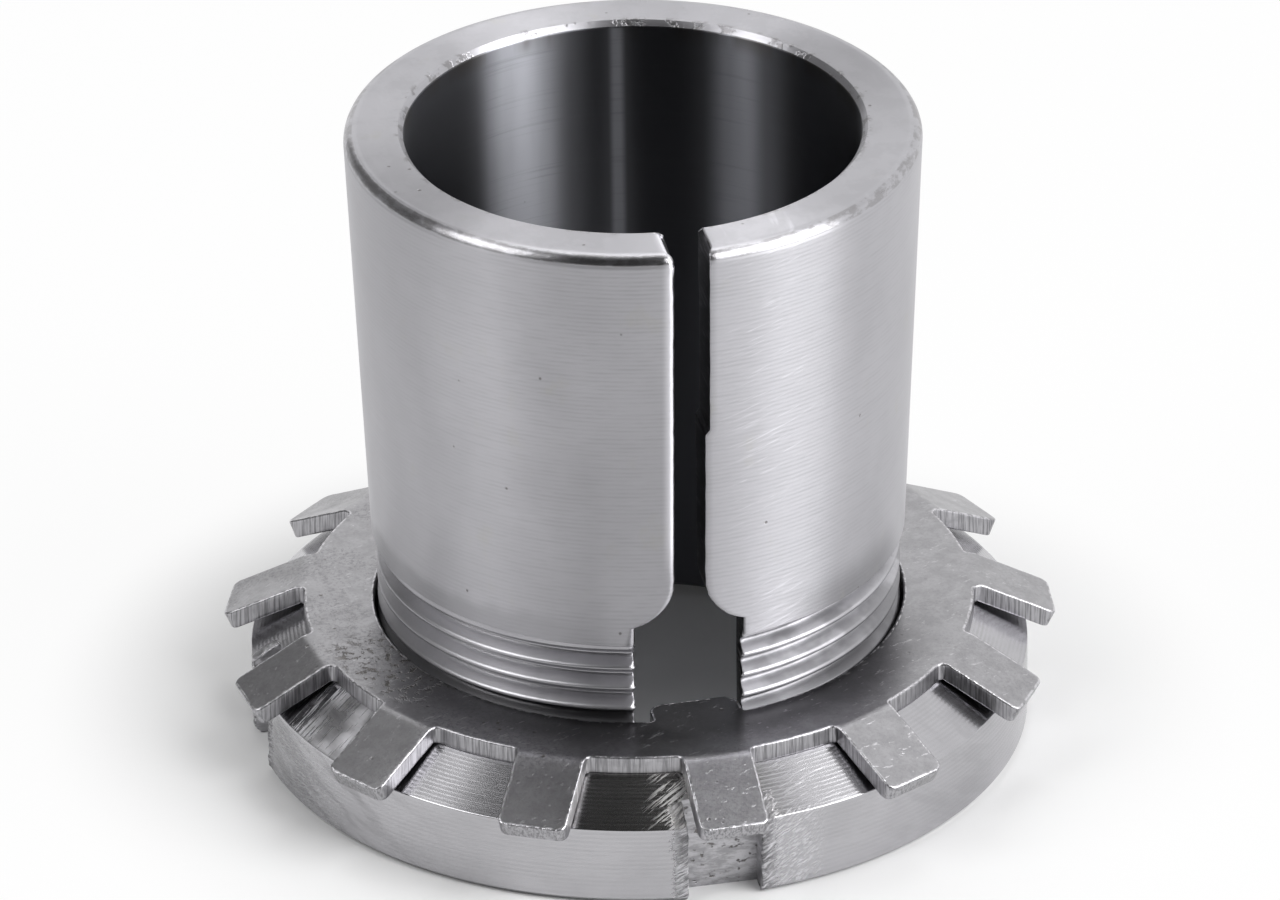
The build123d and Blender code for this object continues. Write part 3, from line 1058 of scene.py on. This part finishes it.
def hole_outline(size, sector, tang):
    """Inner outline of one washer sector, plain or with the tang, from -Y to +Y."""
    hole = size.hole_radius
    if not tang:
        return arc_points((0, 0), hole, -sector / 2, sector / 2, 29)
    half, corner, root = size.tang_half, size.tang_corner, size.tang_root
    foot = math.sqrt((hole - root) ** 2 - (half + root) ** 2)
    lean = math.atan2(half + root, foot)
    ring_arc = arc_points((0, 0), hole, -sector / 2, -lean, 6)
    foot_arc = arc_points((foot, -half - root), root, -lean, math.pi / 2, 6)
    end_corner = arc_points((size.tang_end + corner, corner - half), corner, -math.pi / 2, -math.pi, 8)
    lower = np.vstack([ring_arc, foot_arc[1:], end_corner])
    return np.vstack([lower, lower[::-1] * (1, -1)])


def crossed(outline, places):
    """An outline with points added where it crosses the given X places on a tab."""
    points = [outline[0]]
    for start, end in zip(outline[:-1], outline[1:]):
        low, high = sorted((start[0], end[0]))
        inside = [place for place in places if low + TINY < place < high - TINY]
        inside.sort(reverse=bool(start[0] > end[0]))
        for place in inside:
            points.append(start + (end - start) * (place - start[0]) / (end[0] - start[0]))
        points.append(end)
    return np.array(points)


def outline_normals(outline, outward):
    """Unit normals of an outline in the plane; those at its two ends point along the radius."""
    way = np.gradient(outline, axis=0)
    normals = np.column_stack([way[:, 1], -way[:, 0]]) * outward
    normals[0], normals[-1] = outline[0] * outward, outline[-1] * outward
    return normals / np.linalg.norm(normals, axis=1, keepdims=True)


def folded(points, size):
    """Bends a flat sector's tab down over the nut's cone."""
    radius, limit = size.fold_radius, size.fold_angle
    past = points[..., 0] - size.fold_start
    turn = np.clip(past / radius, 0, limit)
    straight = np.maximum(past - radius * limit, 0)
    reach = radius + points[..., 2]
    along = size.fold_start + reach * np.sin(turn) + straight * np.cos(limit)
    height = -radius + reach * np.cos(turn) - straight * np.sin(limit)
    flat = past <= 0
    along = np.where(flat, points[..., 0], along)
    height = np.where(flat, points[..., 2], height)
    return np.stack([along, points[..., 1], height], axis=-1)


# Width of the flat ring inside the washer's outlines, and distance of the edge's rows from both faces
FLAT_RING = 0.3 * MM


def washer_sector(size, tang):
    """One sector of the washer, open at its two cuts, with the tab along +X."""
    sector = FULL_TURN / size.tab_count
    half = size.thickness / 2
    bend = np.linspace(0, size.fold_radius * size.fold_angle, 6) + size.fold_start
    outlines = [(crossed(tab_outline(size, sector), bend), 1), (hole_outline(size, sector, tang), -1)]
    insets, drops = round_steps(size.edge_round, 5)
    shell = Shell()
    inner_rings = {1: [], -1: []}
    for outline, outward in outlines:
        normals = outline_normals(outline, outward)
        rings = [(FLAT_RING, half, 0.0)]
        rings += [(inset, half - drop, 1.0) for inset, drop in zip(insets[::-1], drops[::-1])]
        rings += [(0.0, height, 1.0) for height in np.linspace(half - FLAT_RING, FLAT_RING - half, 3)]
        rings += [(inset, drop - half, 1.0) for inset, drop in zip(insets, drops)]
        rings += [(FLAT_RING, -half, 0.0)]
        places, edges = [], []
        for inset, height, edge in rings:
            flat = outline - normals * inset
            places.append(np.column_stack([flat, np.full(len(flat), height)]))
            edges.append(np.full(len(flat), edge))
        numbers = shell.add_points(folded(np.array(places), size), np.array(edges))
        shell.quads(numbers, [FACE] * 3 + [EDGE] * (len(rings) - 6) + [FACE] * 2)
        inner_rings[1].append((places[0][:, :2], numbers[0]))
        inner_rings[-1].append((places[-1][:, :2], numbers[-1]))
    tab = outlines[0][0]
    low, high = bend[0] - 0.1 * MM, bend[-1] + TINY
    bent = [place for place in range(len(tab) // 2) if low < tab[place][0] < high]
    for (outer, outer_numbers), (inner, inner_numbers) in inner_rings.values():
        flat = np.vstack([outer, inner[::-1]])
        numbers = [*outer_numbers, *inner_numbers[::-1]]
        edges = [(place, (place + 1) % len(flat)) for place in range(len(flat))]
        edges += [(place, len(outer) - 1 - place) for place in bent]
        made = delaunay_2d_cdt([Vector(point / MM) for point in flat], edges, [], 1, 1e-6)
        for face in made[2]:
            shell.patch([numbers[made[3][corner][0]] for corner in face], FACE)
    return shell


def place_sector(mesh, height):
    """Turns a sector from +X to -Y and lifts it to its height."""
    points = np.zeros(len(mesh.vertices) * 3)
    mesh.vertices.foreach_get("co", points)
    points = points.reshape(-1, 3)
    moved = np.column_stack([points[:, 1], -points[:, 0], points[:, 2] + height])
    mesh.vertices.foreach_set("co", moved.ravel())


class NutSector:
    """One sector of the nut, from the middle of a slot to the middle of the next."""

    # Columns in the middle of the sector, and distances from a slot of the closer ones beside it
    MIDDLE_COLUMNS = 44
    NEAR_SLOT = np.array([0.2, 0.35, 0.55, 0.8, 1.1, 1.5]) * MM

    # How far from a slot the metal is torn, and how far from its floor the edges take to round off
    TORN_WIDTH = 1.3 * MM
    ROUND_START = 0.3 * MM

    # Flat rings beside the bore's mouth and on both sides of the edge between face and cone
    MOUTH_RING = 0.2 * MM
    FACE_RING = 0.6 * MM
    CONE_RING = 0.4 * MM

    def __init__(self, size):
        self.size = size
        self.sector = FULL_TURN / size.slot_count
        self.top = NUT_HIGH.z
        self.slope = math.tan(size.cone_angle)
        self.wall_radius = math.hypot(size.slot_floor, size.slot_half)
        insets, drops = round_steps(size.edge_round, 4)
        self.insets = np.concatenate([insets, self.NEAR_SLOT])
        self.drops = np.concatenate([drops, 0 * self.NEAR_SLOT])
        self.across = np.linspace(0, size.slot_half, 7)
        self.shell = Shell()

    def cone_height(self, radius):
        """Height of the cone at a radius."""
        return self.top - (radius - self.size.face_radius) * self.slope

    def angles(self, radius):
        """Angles of a row's points, closest along the two slots."""
        walls = np.arcsin((self.size.slot_half + self.insets) / radius)
        middle = np.linspace(walls[-1], self.sector - walls[-1], self.MIDDLE_COLUMNS + 2)[1:-1]
        return np.concatenate([walls, middle, self.sector - walls[::-1]])

    def beside_slots(self, values):
        """Values for the points beside both slots, and zero between them."""
        return np.concatenate([values, np.zeros(self.MIDDLE_COLUMNS), values[::-1]])

    def add_outside(self):
        """The back edge, the rim and the cone outside the slots' floors, as numbers of points."""
        outer, chamfer = self.size.radius, self.size.edge_chamfer
        corners = [
            (self.wall_radius, 0),
            (outer - chamfer, 0),
            (outer, chamfer),
            (outer, self.cone_height(outer)),
            (self.wall_radius, self.cone_height(self.wall_radius)),
        ]
        profile = divided(rounded(corners, [0.1 * MM, 0.1 * MM, 0.09 * MM], 3), 0.17 * MM)
        shares = np.minimum(profile[:, 0] - self.wall_radius, self.ROUND_START) / self.ROUND_START
        wear = np.clip(1 - self.insets / self.TORN_WIDTH, 0, 1)
        points, marks = [], []
        for (radius, height), normal, share in zip(profile, profile_normals(profile), shares):
            drop = self.beside_slots(self.drops) * share
            points.append(
                round_axis(radius - normal[0] * drop, self.angles(radius), height - normal[1] * drop)
            )
            marks.append(self.beside_slots(wear) * share)
        numbers = self.shell.add_points(np.array(points), np.array(marks))
        self.shell.quads(numbers, [TURNED] * (len(profile) - 1))
        return numbers

    def bore_profile(self):
        """Radius and height from the back face through the bore to the cone."""
        top, face = self.top, self.size.face_radius
        mouth, crest = self.size.bore_mouth, self.size.crest_radius
        depth, beside, past_face = mouth - crest, mouth + self.MOUTH_RING, face + self.CONE_RING
        bore = [(beside, 0), (mouth, 0), (crest, depth), (crest, top - depth), (mouth, top), (beside, top)]
        edge = [(face - self.FACE_RING, top), (face, top), (past_face, self.cone_height(past_face))]
        bore = divided(rounded(bore, [0.05 * MM] * 4, 3), 0.12 * MM)
        return np.vstack([bore, rounded(edge, [0.1 * MM], 3)])

    def add_inside(self):
        """The faces inside the slots' floors and the bore, and their rows of points with the numbers."""
        floor = self.size.slot_floor
        floor_turn = np.arctan2(self.across, floor)
        turn = [floor_turn[:-1], self.angles(self.wall_radius), (self.sector - floor_turn[:-1])[::-1]]
        turn = np.concatenate(turn)
        reach = np.full(len(turn), self.wall_radius)
        reach[: len(floor_turn)] = floor / np.cos(floor_turn)
        reach[-len(floor_turn) :] = floor / np.cos(floor_turn[::-1])
        profile = self.bore_profile()
        rows = [round_axis(reach, turn, 0.0), round_axis((reach + profile[0, 0]) / 2, turn, 0.0)]
        rows += [round_axis(radius, turn, height) for radius, height in profile]
        outside = ((reach + profile[-1, 0]) / 2, reach)
        rows += [round_axis(radius, turn, self.cone_height(radius)) for radius in outside]
        numbers = self.shell.add_points(np.array(rows))
        in_bore = profile[:, 0] < self.size.bore_mouth - TINY
        regions = [TURNED, TURNED, *np.where(in_bore, BORE, TURNED), TURNED]
        self.shell.quads(numbers, regions)
        return rows, numbers

    def build(self):
        """The sector as a shell, open at its two cuts, with half a slot at each."""
        outside = self.add_outside()
        rows, numbers = self.add_inside()
        count = len(self.across)
        shares = np.linspace(0, 1, 12)[1:-1, None, None]
        for columns, wall, wall_column in ((slice(0, count), 0, -1), (slice(-count, None), -1, 0)):
            low, high = rows[0][columns], rows[-1][columns]
            between = self.shell.add_points(low + (high - low) * shares)
            grid = np.vstack([numbers[:1, columns], between, numbers[-1:, columns]])
            self.shell.quads(grid, [SAWN] * (len(grid) - 1))
            self.shell.patch([*outside[:, wall], *grid[-2:0:-1, wall_column]], SAWN)
        return self.shell


def add_piece(name, shell, materials):
    """An object in the scene that carries a shell's mesh and its materials."""
    piece = bpy.data.objects.new(name, shell.mesh(name))
    for material in materials.values():
        piece.data.materials.append(material)
    bpy.context.scene.collection.objects.link(piece)
    return piece


class OBJECT_OT_adapter_sleeve(bpy.types.Operator):
    """Builds the split taper sleeve with its helical thread"""

    bl_idname = "object.adapter_sleeve"
    bl_label = "Sleeve"

    def execute(self, context):
        """Builds the wall, cuts the thread and replaces the CAD node."""
        size, looks = context.scene.adapter_sleeve, context.scene.steel_looks
        wall = SleeveWall(size)
        materials = {
            TURNED: turned_steel(looks),
            BORE: bore_steel(looks),
            THREAD: thread_steel(looks),
            SAWN: sawn_steel(looks),
        }
        piece = add_piece("taper_sleeve", wall.build(), materials)
        values = {
            "Pitch": size.pitch,
            "Crest Radius": size.crest_radius,
            "Groove Depth": size.groove_depth,
            "Groove Height": size.groove_height,
            "Top": wall.thread_top + 0.01 * MM,
            "Side": 1.0,
            "Run Out": 1.0,
        }
        apply_tree(piece, thread_tree(materials), values)
        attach(piece, "sleeve")
        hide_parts("sleeve")
        return {"FINISHED"}


class OBJECT_OT_lock_washer(bpy.types.Operator):
    """Builds the lock washer with its folded tabs and its tang"""

    bl_idname = "object.adapter_lock_washer"
    bl_label = "Lock washer"

    def execute(self, context):
        """Builds one sector with the tang and one without, and repeats them."""
        size, looks = context.scene.lock_washer, context.scene.steel_looks
        materials = {FACE: sheet_steel(looks), EDGE: sheared_steel(looks)}
        piece = add_piece("tab_washer", washer_sector(size, False), materials)
        tang = add_piece("tang_sector", washer_sector(size, True), materials)
        for made in (piece, tang):
            place_sector(made.data, WASHER_HIGH.z - size.thickness / 2)
        values = {"Count": size.tab_count, "Turn": size.turn, "Burr": size.burr, "First": tang}
        apply_tree(piece, ring_tree("tab_ring", materials, True), values)
        bpy.data.objects.remove(tang)
        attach(piece, "washer")
        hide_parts("lock_washer")
        return {"FINISHED"}


class OBJECT_OT_lock_nut(bpy.types.Operator):
    """Builds the lock nut with its slots and the thread in its bore"""

    bl_idname = "object.adapter_lock_nut"
    bl_label = "Lock nut"

    def execute(self, context):
        """Builds one sector with two half slots, repeats it and cuts the thread."""
        scene = context.scene
        size, sleeve, looks = scene.lock_nut, scene.adapter_sleeve, scene.steel_looks
        materials = {
            TURNED: milled_steel(looks),
            BORE: bpy.data.materials.get("threaded_steel") or thread_steel(looks),
            SAWN: slot_steel(looks),
        }
        piece = add_piece("slotted_nut", NutSector(size).build(), materials)
        values = {"Count": size.slot_count, "Turn": size.turn, "Burr": size.burr}
        apply_tree(piece, ring_tree("slot_ring", materials, False), values)
        values = {
            "Pitch": sleeve.pitch,
            "Crest Radius": size.crest_radius,
            "Groove Depth": size.groove_depth,
            "Groove Height": sleeve.groove_height + sleeve.pitch / 2,
            "Top": NUT_HIGH.z + MM,
            "Side": -1.0,
            "Run Out": 0.0,
        }
        apply_tree(piece, thread_tree(materials), values)
        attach(piece, "nut")
        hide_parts("lock_nut")
        return {"FINISHED"}


# Corners of a square plane, and how far the floor reaches to each side in metres
SQUARE = ((-1, -1), (1, -1), (1, 1), (-1, 1))
FLOOR_REACH = 1.0

# The floor turns white between these distances, as shares of the nut's radius, and this is how white; under
# the object it keeps a faint painted glow
WHITE_FROM, WHITE_TO = 0.95, 1.6
FLOOR_GLOW_UNDER, MOST_WHITE = 0.025, 0.93

# How far the lamps and the cards stand from the object, in metres
LAMP_DISTANCE = 1.0
CARD_DISTANCE = 1.2

# Name, degrees beside the camera's direction, elevation, width and height in metres, and brightness
LAMPS = (
    ("right_high_lamp", 60, 48, 0.78, 0.42, 6.2),
    ("right_low_lamp", 66, 19, 0.57, 0.60, 3.3),
    ("left_lamp", -68, 45, 0.53, 0.53, 3.9),
    ("back_lamp", 180, 68, 0.55, 0.28, 3.0),
)
CARDS = (
    ("front_card", -14, 30, 2.1, 1.45, 0.03),
    ("top_card", -30, 82, 1.1, 1.0, 0.03),
    ("left_card", -82, 14, 1.0, 0.62, 0.10),
    ("left_back_card", -125, 30, 1.1, 1.3, 0.35),
)


def direction(azimuth, elevation):
    """A unit vector at an angle from the slit and a height over the horizon."""
    across = math.cos(elevation)
    return Vector((across * math.sin(azimuth), -across * math.cos(azimuth), math.sin(elevation)))


def add_camera(context, settings):
    """The camera, aimed as the photo was taken."""
    back = direction(settings.azimuth, settings.elevation)
    place = Vector((0, 0, settings.target_height)) + back * settings.distance
    side = Vector((math.cos(settings.azimuth), math.sin(settings.azimuth), 0))
    aim = Vector((0, 0, settings.aim_height)) + side * settings.aim_side
    view = (aim - place).to_track_quat("-Z", "Y").to_matrix()
    turned = view @ Matrix.Rotation(settings.roll, 3, "Z")
    data = bpy.data.cameras.new("camera")
    data.lens = settings.lens
    data.clip_start = 0.05
    camera = bpy.data.objects.new("camera", data)
    camera.matrix_world = Matrix.Translation(place) @ turned.to_4x4()
    context.scene.collection.objects.link(camera)
    context.scene.camera = camera
    return camera


def face_middle(settings, beside, elevation, distance):
    """Where a lamp or card stands, beside the camera's direction, and how it faces the object."""
    way = direction(settings.azimuth + math.radians(beside), math.radians(elevation))
    return Matrix.Translation(way * distance) @ way.to_track_quat("Z", "Y").to_matrix().to_4x4()


def add_lamp(context, name, beside, elevation, width, height, strength):
    """A soft lamp, whose strength is how bright it looks, where 1 is white."""
    data = bpy.data.lights.new(name, "AREA")
    data.shape = "RECTANGLE"
    data.size, data.size_y = width, height
    data.energy = strength * math.pi * width * height
    lamp = bpy.data.objects.new(name, data)
    lamp.matrix_world = face_middle(context.scene.studio_settings, beside, elevation, LAMP_DISTANCE)
    lamp.visible_camera = False
    context.scene.collection.objects.link(lamp)
    return lamp


def add_card(context, name, beside, elevation, width, height, tone):
    """A matt card, which the steel mirrors in place of the white world."""
    place = face_middle(context.scene.studio_settings, beside, elevation, CARD_DISTANCE)
    points = [place @ Vector((x * width / 2, y * height / 2, 0)) for x, y in SQUARE]
    return add_plane(context, name, points, tone, False)


def pale_floor(material, shader):
    """Shows the floor white away from the object, to the eye and to the steel, and leaves its shadow."""
    graph = Graph(material.node_tree)
    seen = graph.add("ShaderNodeLightPath", {}, {}, "Is Camera Ray")
    shown = (seen + seen.output("Is Glossy Ray") + seen.output("Is Transmission Ray")).clamped()
    radius = graph.around()[1]
    away = radius.ramp(NUT_RADIUS * WHITE_FROM, NUT_RADIUS * WHITE_TO, FLOOR_GLOW_UNDER, MOST_WHITE)
    white = graph.add("ShaderNodeEmission", {}, {"Color": (1, 1, 1), "Strength": 1.0})
    shaders = {0: shown * away, 1: Wire(graph, shader.outputs[0]), 2: white}
    mixed = graph.add("ShaderNodeMixShader", {}, shaders)
    output = material.node_tree.nodes["Material Output"]
    graph.tree.links.new(mixed.socket, output.inputs["Surface"])


def add_plane(context, name, points, tone, shown):
    """A flat stage object with a matt colour."""
    mesh = bpy.data.meshes.new(name)
    mesh.from_pydata([tuple(point) for point in points], [], [(0, 1, 2, 3)])
    material = bpy.data.materials.new(name)
    material.use_nodes = True
    shader = material.node_tree.nodes["Principled BSDF"]
    shader.inputs["Base Color"].default_value = (tone, tone, tone, 1)
    shader.inputs["Roughness"].default_value = 1.0
    shader.inputs["Specular IOR Level"].default_value = 0.0
    if shown:
        pale_floor(material, shader)
    mesh.materials.append(material)
    plane = bpy.data.objects.new(name, mesh)
    plane.visible_camera = shown
    context.scene.collection.objects.link(plane)
    return plane


def set_world(context, diffuse):
    """White where it is seen or mirrored, and dimmer where it only lights."""
    world = bpy.data.worlds.new("world")
    world.use_nodes = True
    context.scene.world = world
    graph = Graph(world.node_tree)
    seen = graph.add("ShaderNodeLightPath", {}, {}, "Is Camera Ray")
    shown = (seen + seen.output("Is Glossy Ray") + seen.output("Is Transmission Ray")).clamped()
    back = world.node_tree.nodes["Background"]
    back.inputs["Color"].default_value = (1, 1, 1, 1)
    strength = shown * (1 - diffuse) + diffuse
    graph.tree.links.new(strength.socket, back.inputs["Strength"])


class OBJECT_OT_adapter_sleeve_stage(bpy.types.Operator):
    """Sets up the camera, the pale floor, the cards and the lamps"""

    bl_idname = "object.adapter_sleeve_stage"
    bl_label = "Stage"

    def execute(self, context):
        """Makes each stage object: the world, the floor, the camera, the cards and the lamps."""
        settings = context.scene.studio_settings
        set_world(context, settings.fill)
        corners = [Vector((x, y, 0)) * FLOOR_REACH for x, y in SQUARE]
        floor = add_plane(context, "floor", corners, settings.floor[0], True)
        stage = [floor, add_camera(context, settings)]
        stage += [add_card(context, *card) for card in CARDS]
        stage += [add_lamp(context, *lamp) for lamp in LAMPS]
        return {"FINISHED"}


class VIEW3D_PT_adapter_sleeve(bpy.types.Panel):
    """Lists the pieces and the stage"""

    bl_label = "Adapter sleeve"
    bl_idname = "VIEW3D_PT_adapter_sleeve"
    bl_space_type = "VIEW_3D"
    bl_region_type = "UI"
    bl_category = "Adapter sleeve"

    def draw(self, context):
        """Draws one button for each operator."""
        for operator in OPERATORS:
            self.layout.operator(operator.bl_idname)


GROUPS = {
    "adapter_sleeve": AdapterSleeveSizes,
    "lock_washer": LockWasherSizes,
    "lock_nut": LockNutSizes,
    "steel_looks": SteelLooks,
    "studio_settings": StudioSettings,
}
OPERATORS = (
    OBJECT_OT_adapter_sleeve,
    OBJECT_OT_lock_washer,
    OBJECT_OT_lock_nut,
    OBJECT_OT_adapter_sleeve_stage,
)
CLASSES = (*GROUPS.values(), *OPERATORS, VIEW3D_PT_adapter_sleeve)


def register():
    """Adds the classes and their settings to the scene."""
    for item in CLASSES:
        bpy.utils.register_class(item)
    for name, group in GROUPS.items():
        setattr(bpy.types.Scene, name, PointerProperty(type=group))


def unregister():
    """Takes the settings and the classes away again."""
    for name in GROUPS:
        delattr(bpy.types.Scene, name)
    for item in reversed(CLASSES):
        bpy.utils.unregister_class(item)


def main():
    """Builds every piece and the stage."""
    register()
    bpy.context.scene.view_settings.view_transform = "Standard"
    bpy.ops.object.adapter_sleeve()
    bpy.ops.object.adapter_lock_washer()
    bpy.ops.object.adapter_lock_nut()
    bpy.ops.object.adapter_sleeve_stage()


if __name__ == "__main__":
    main()
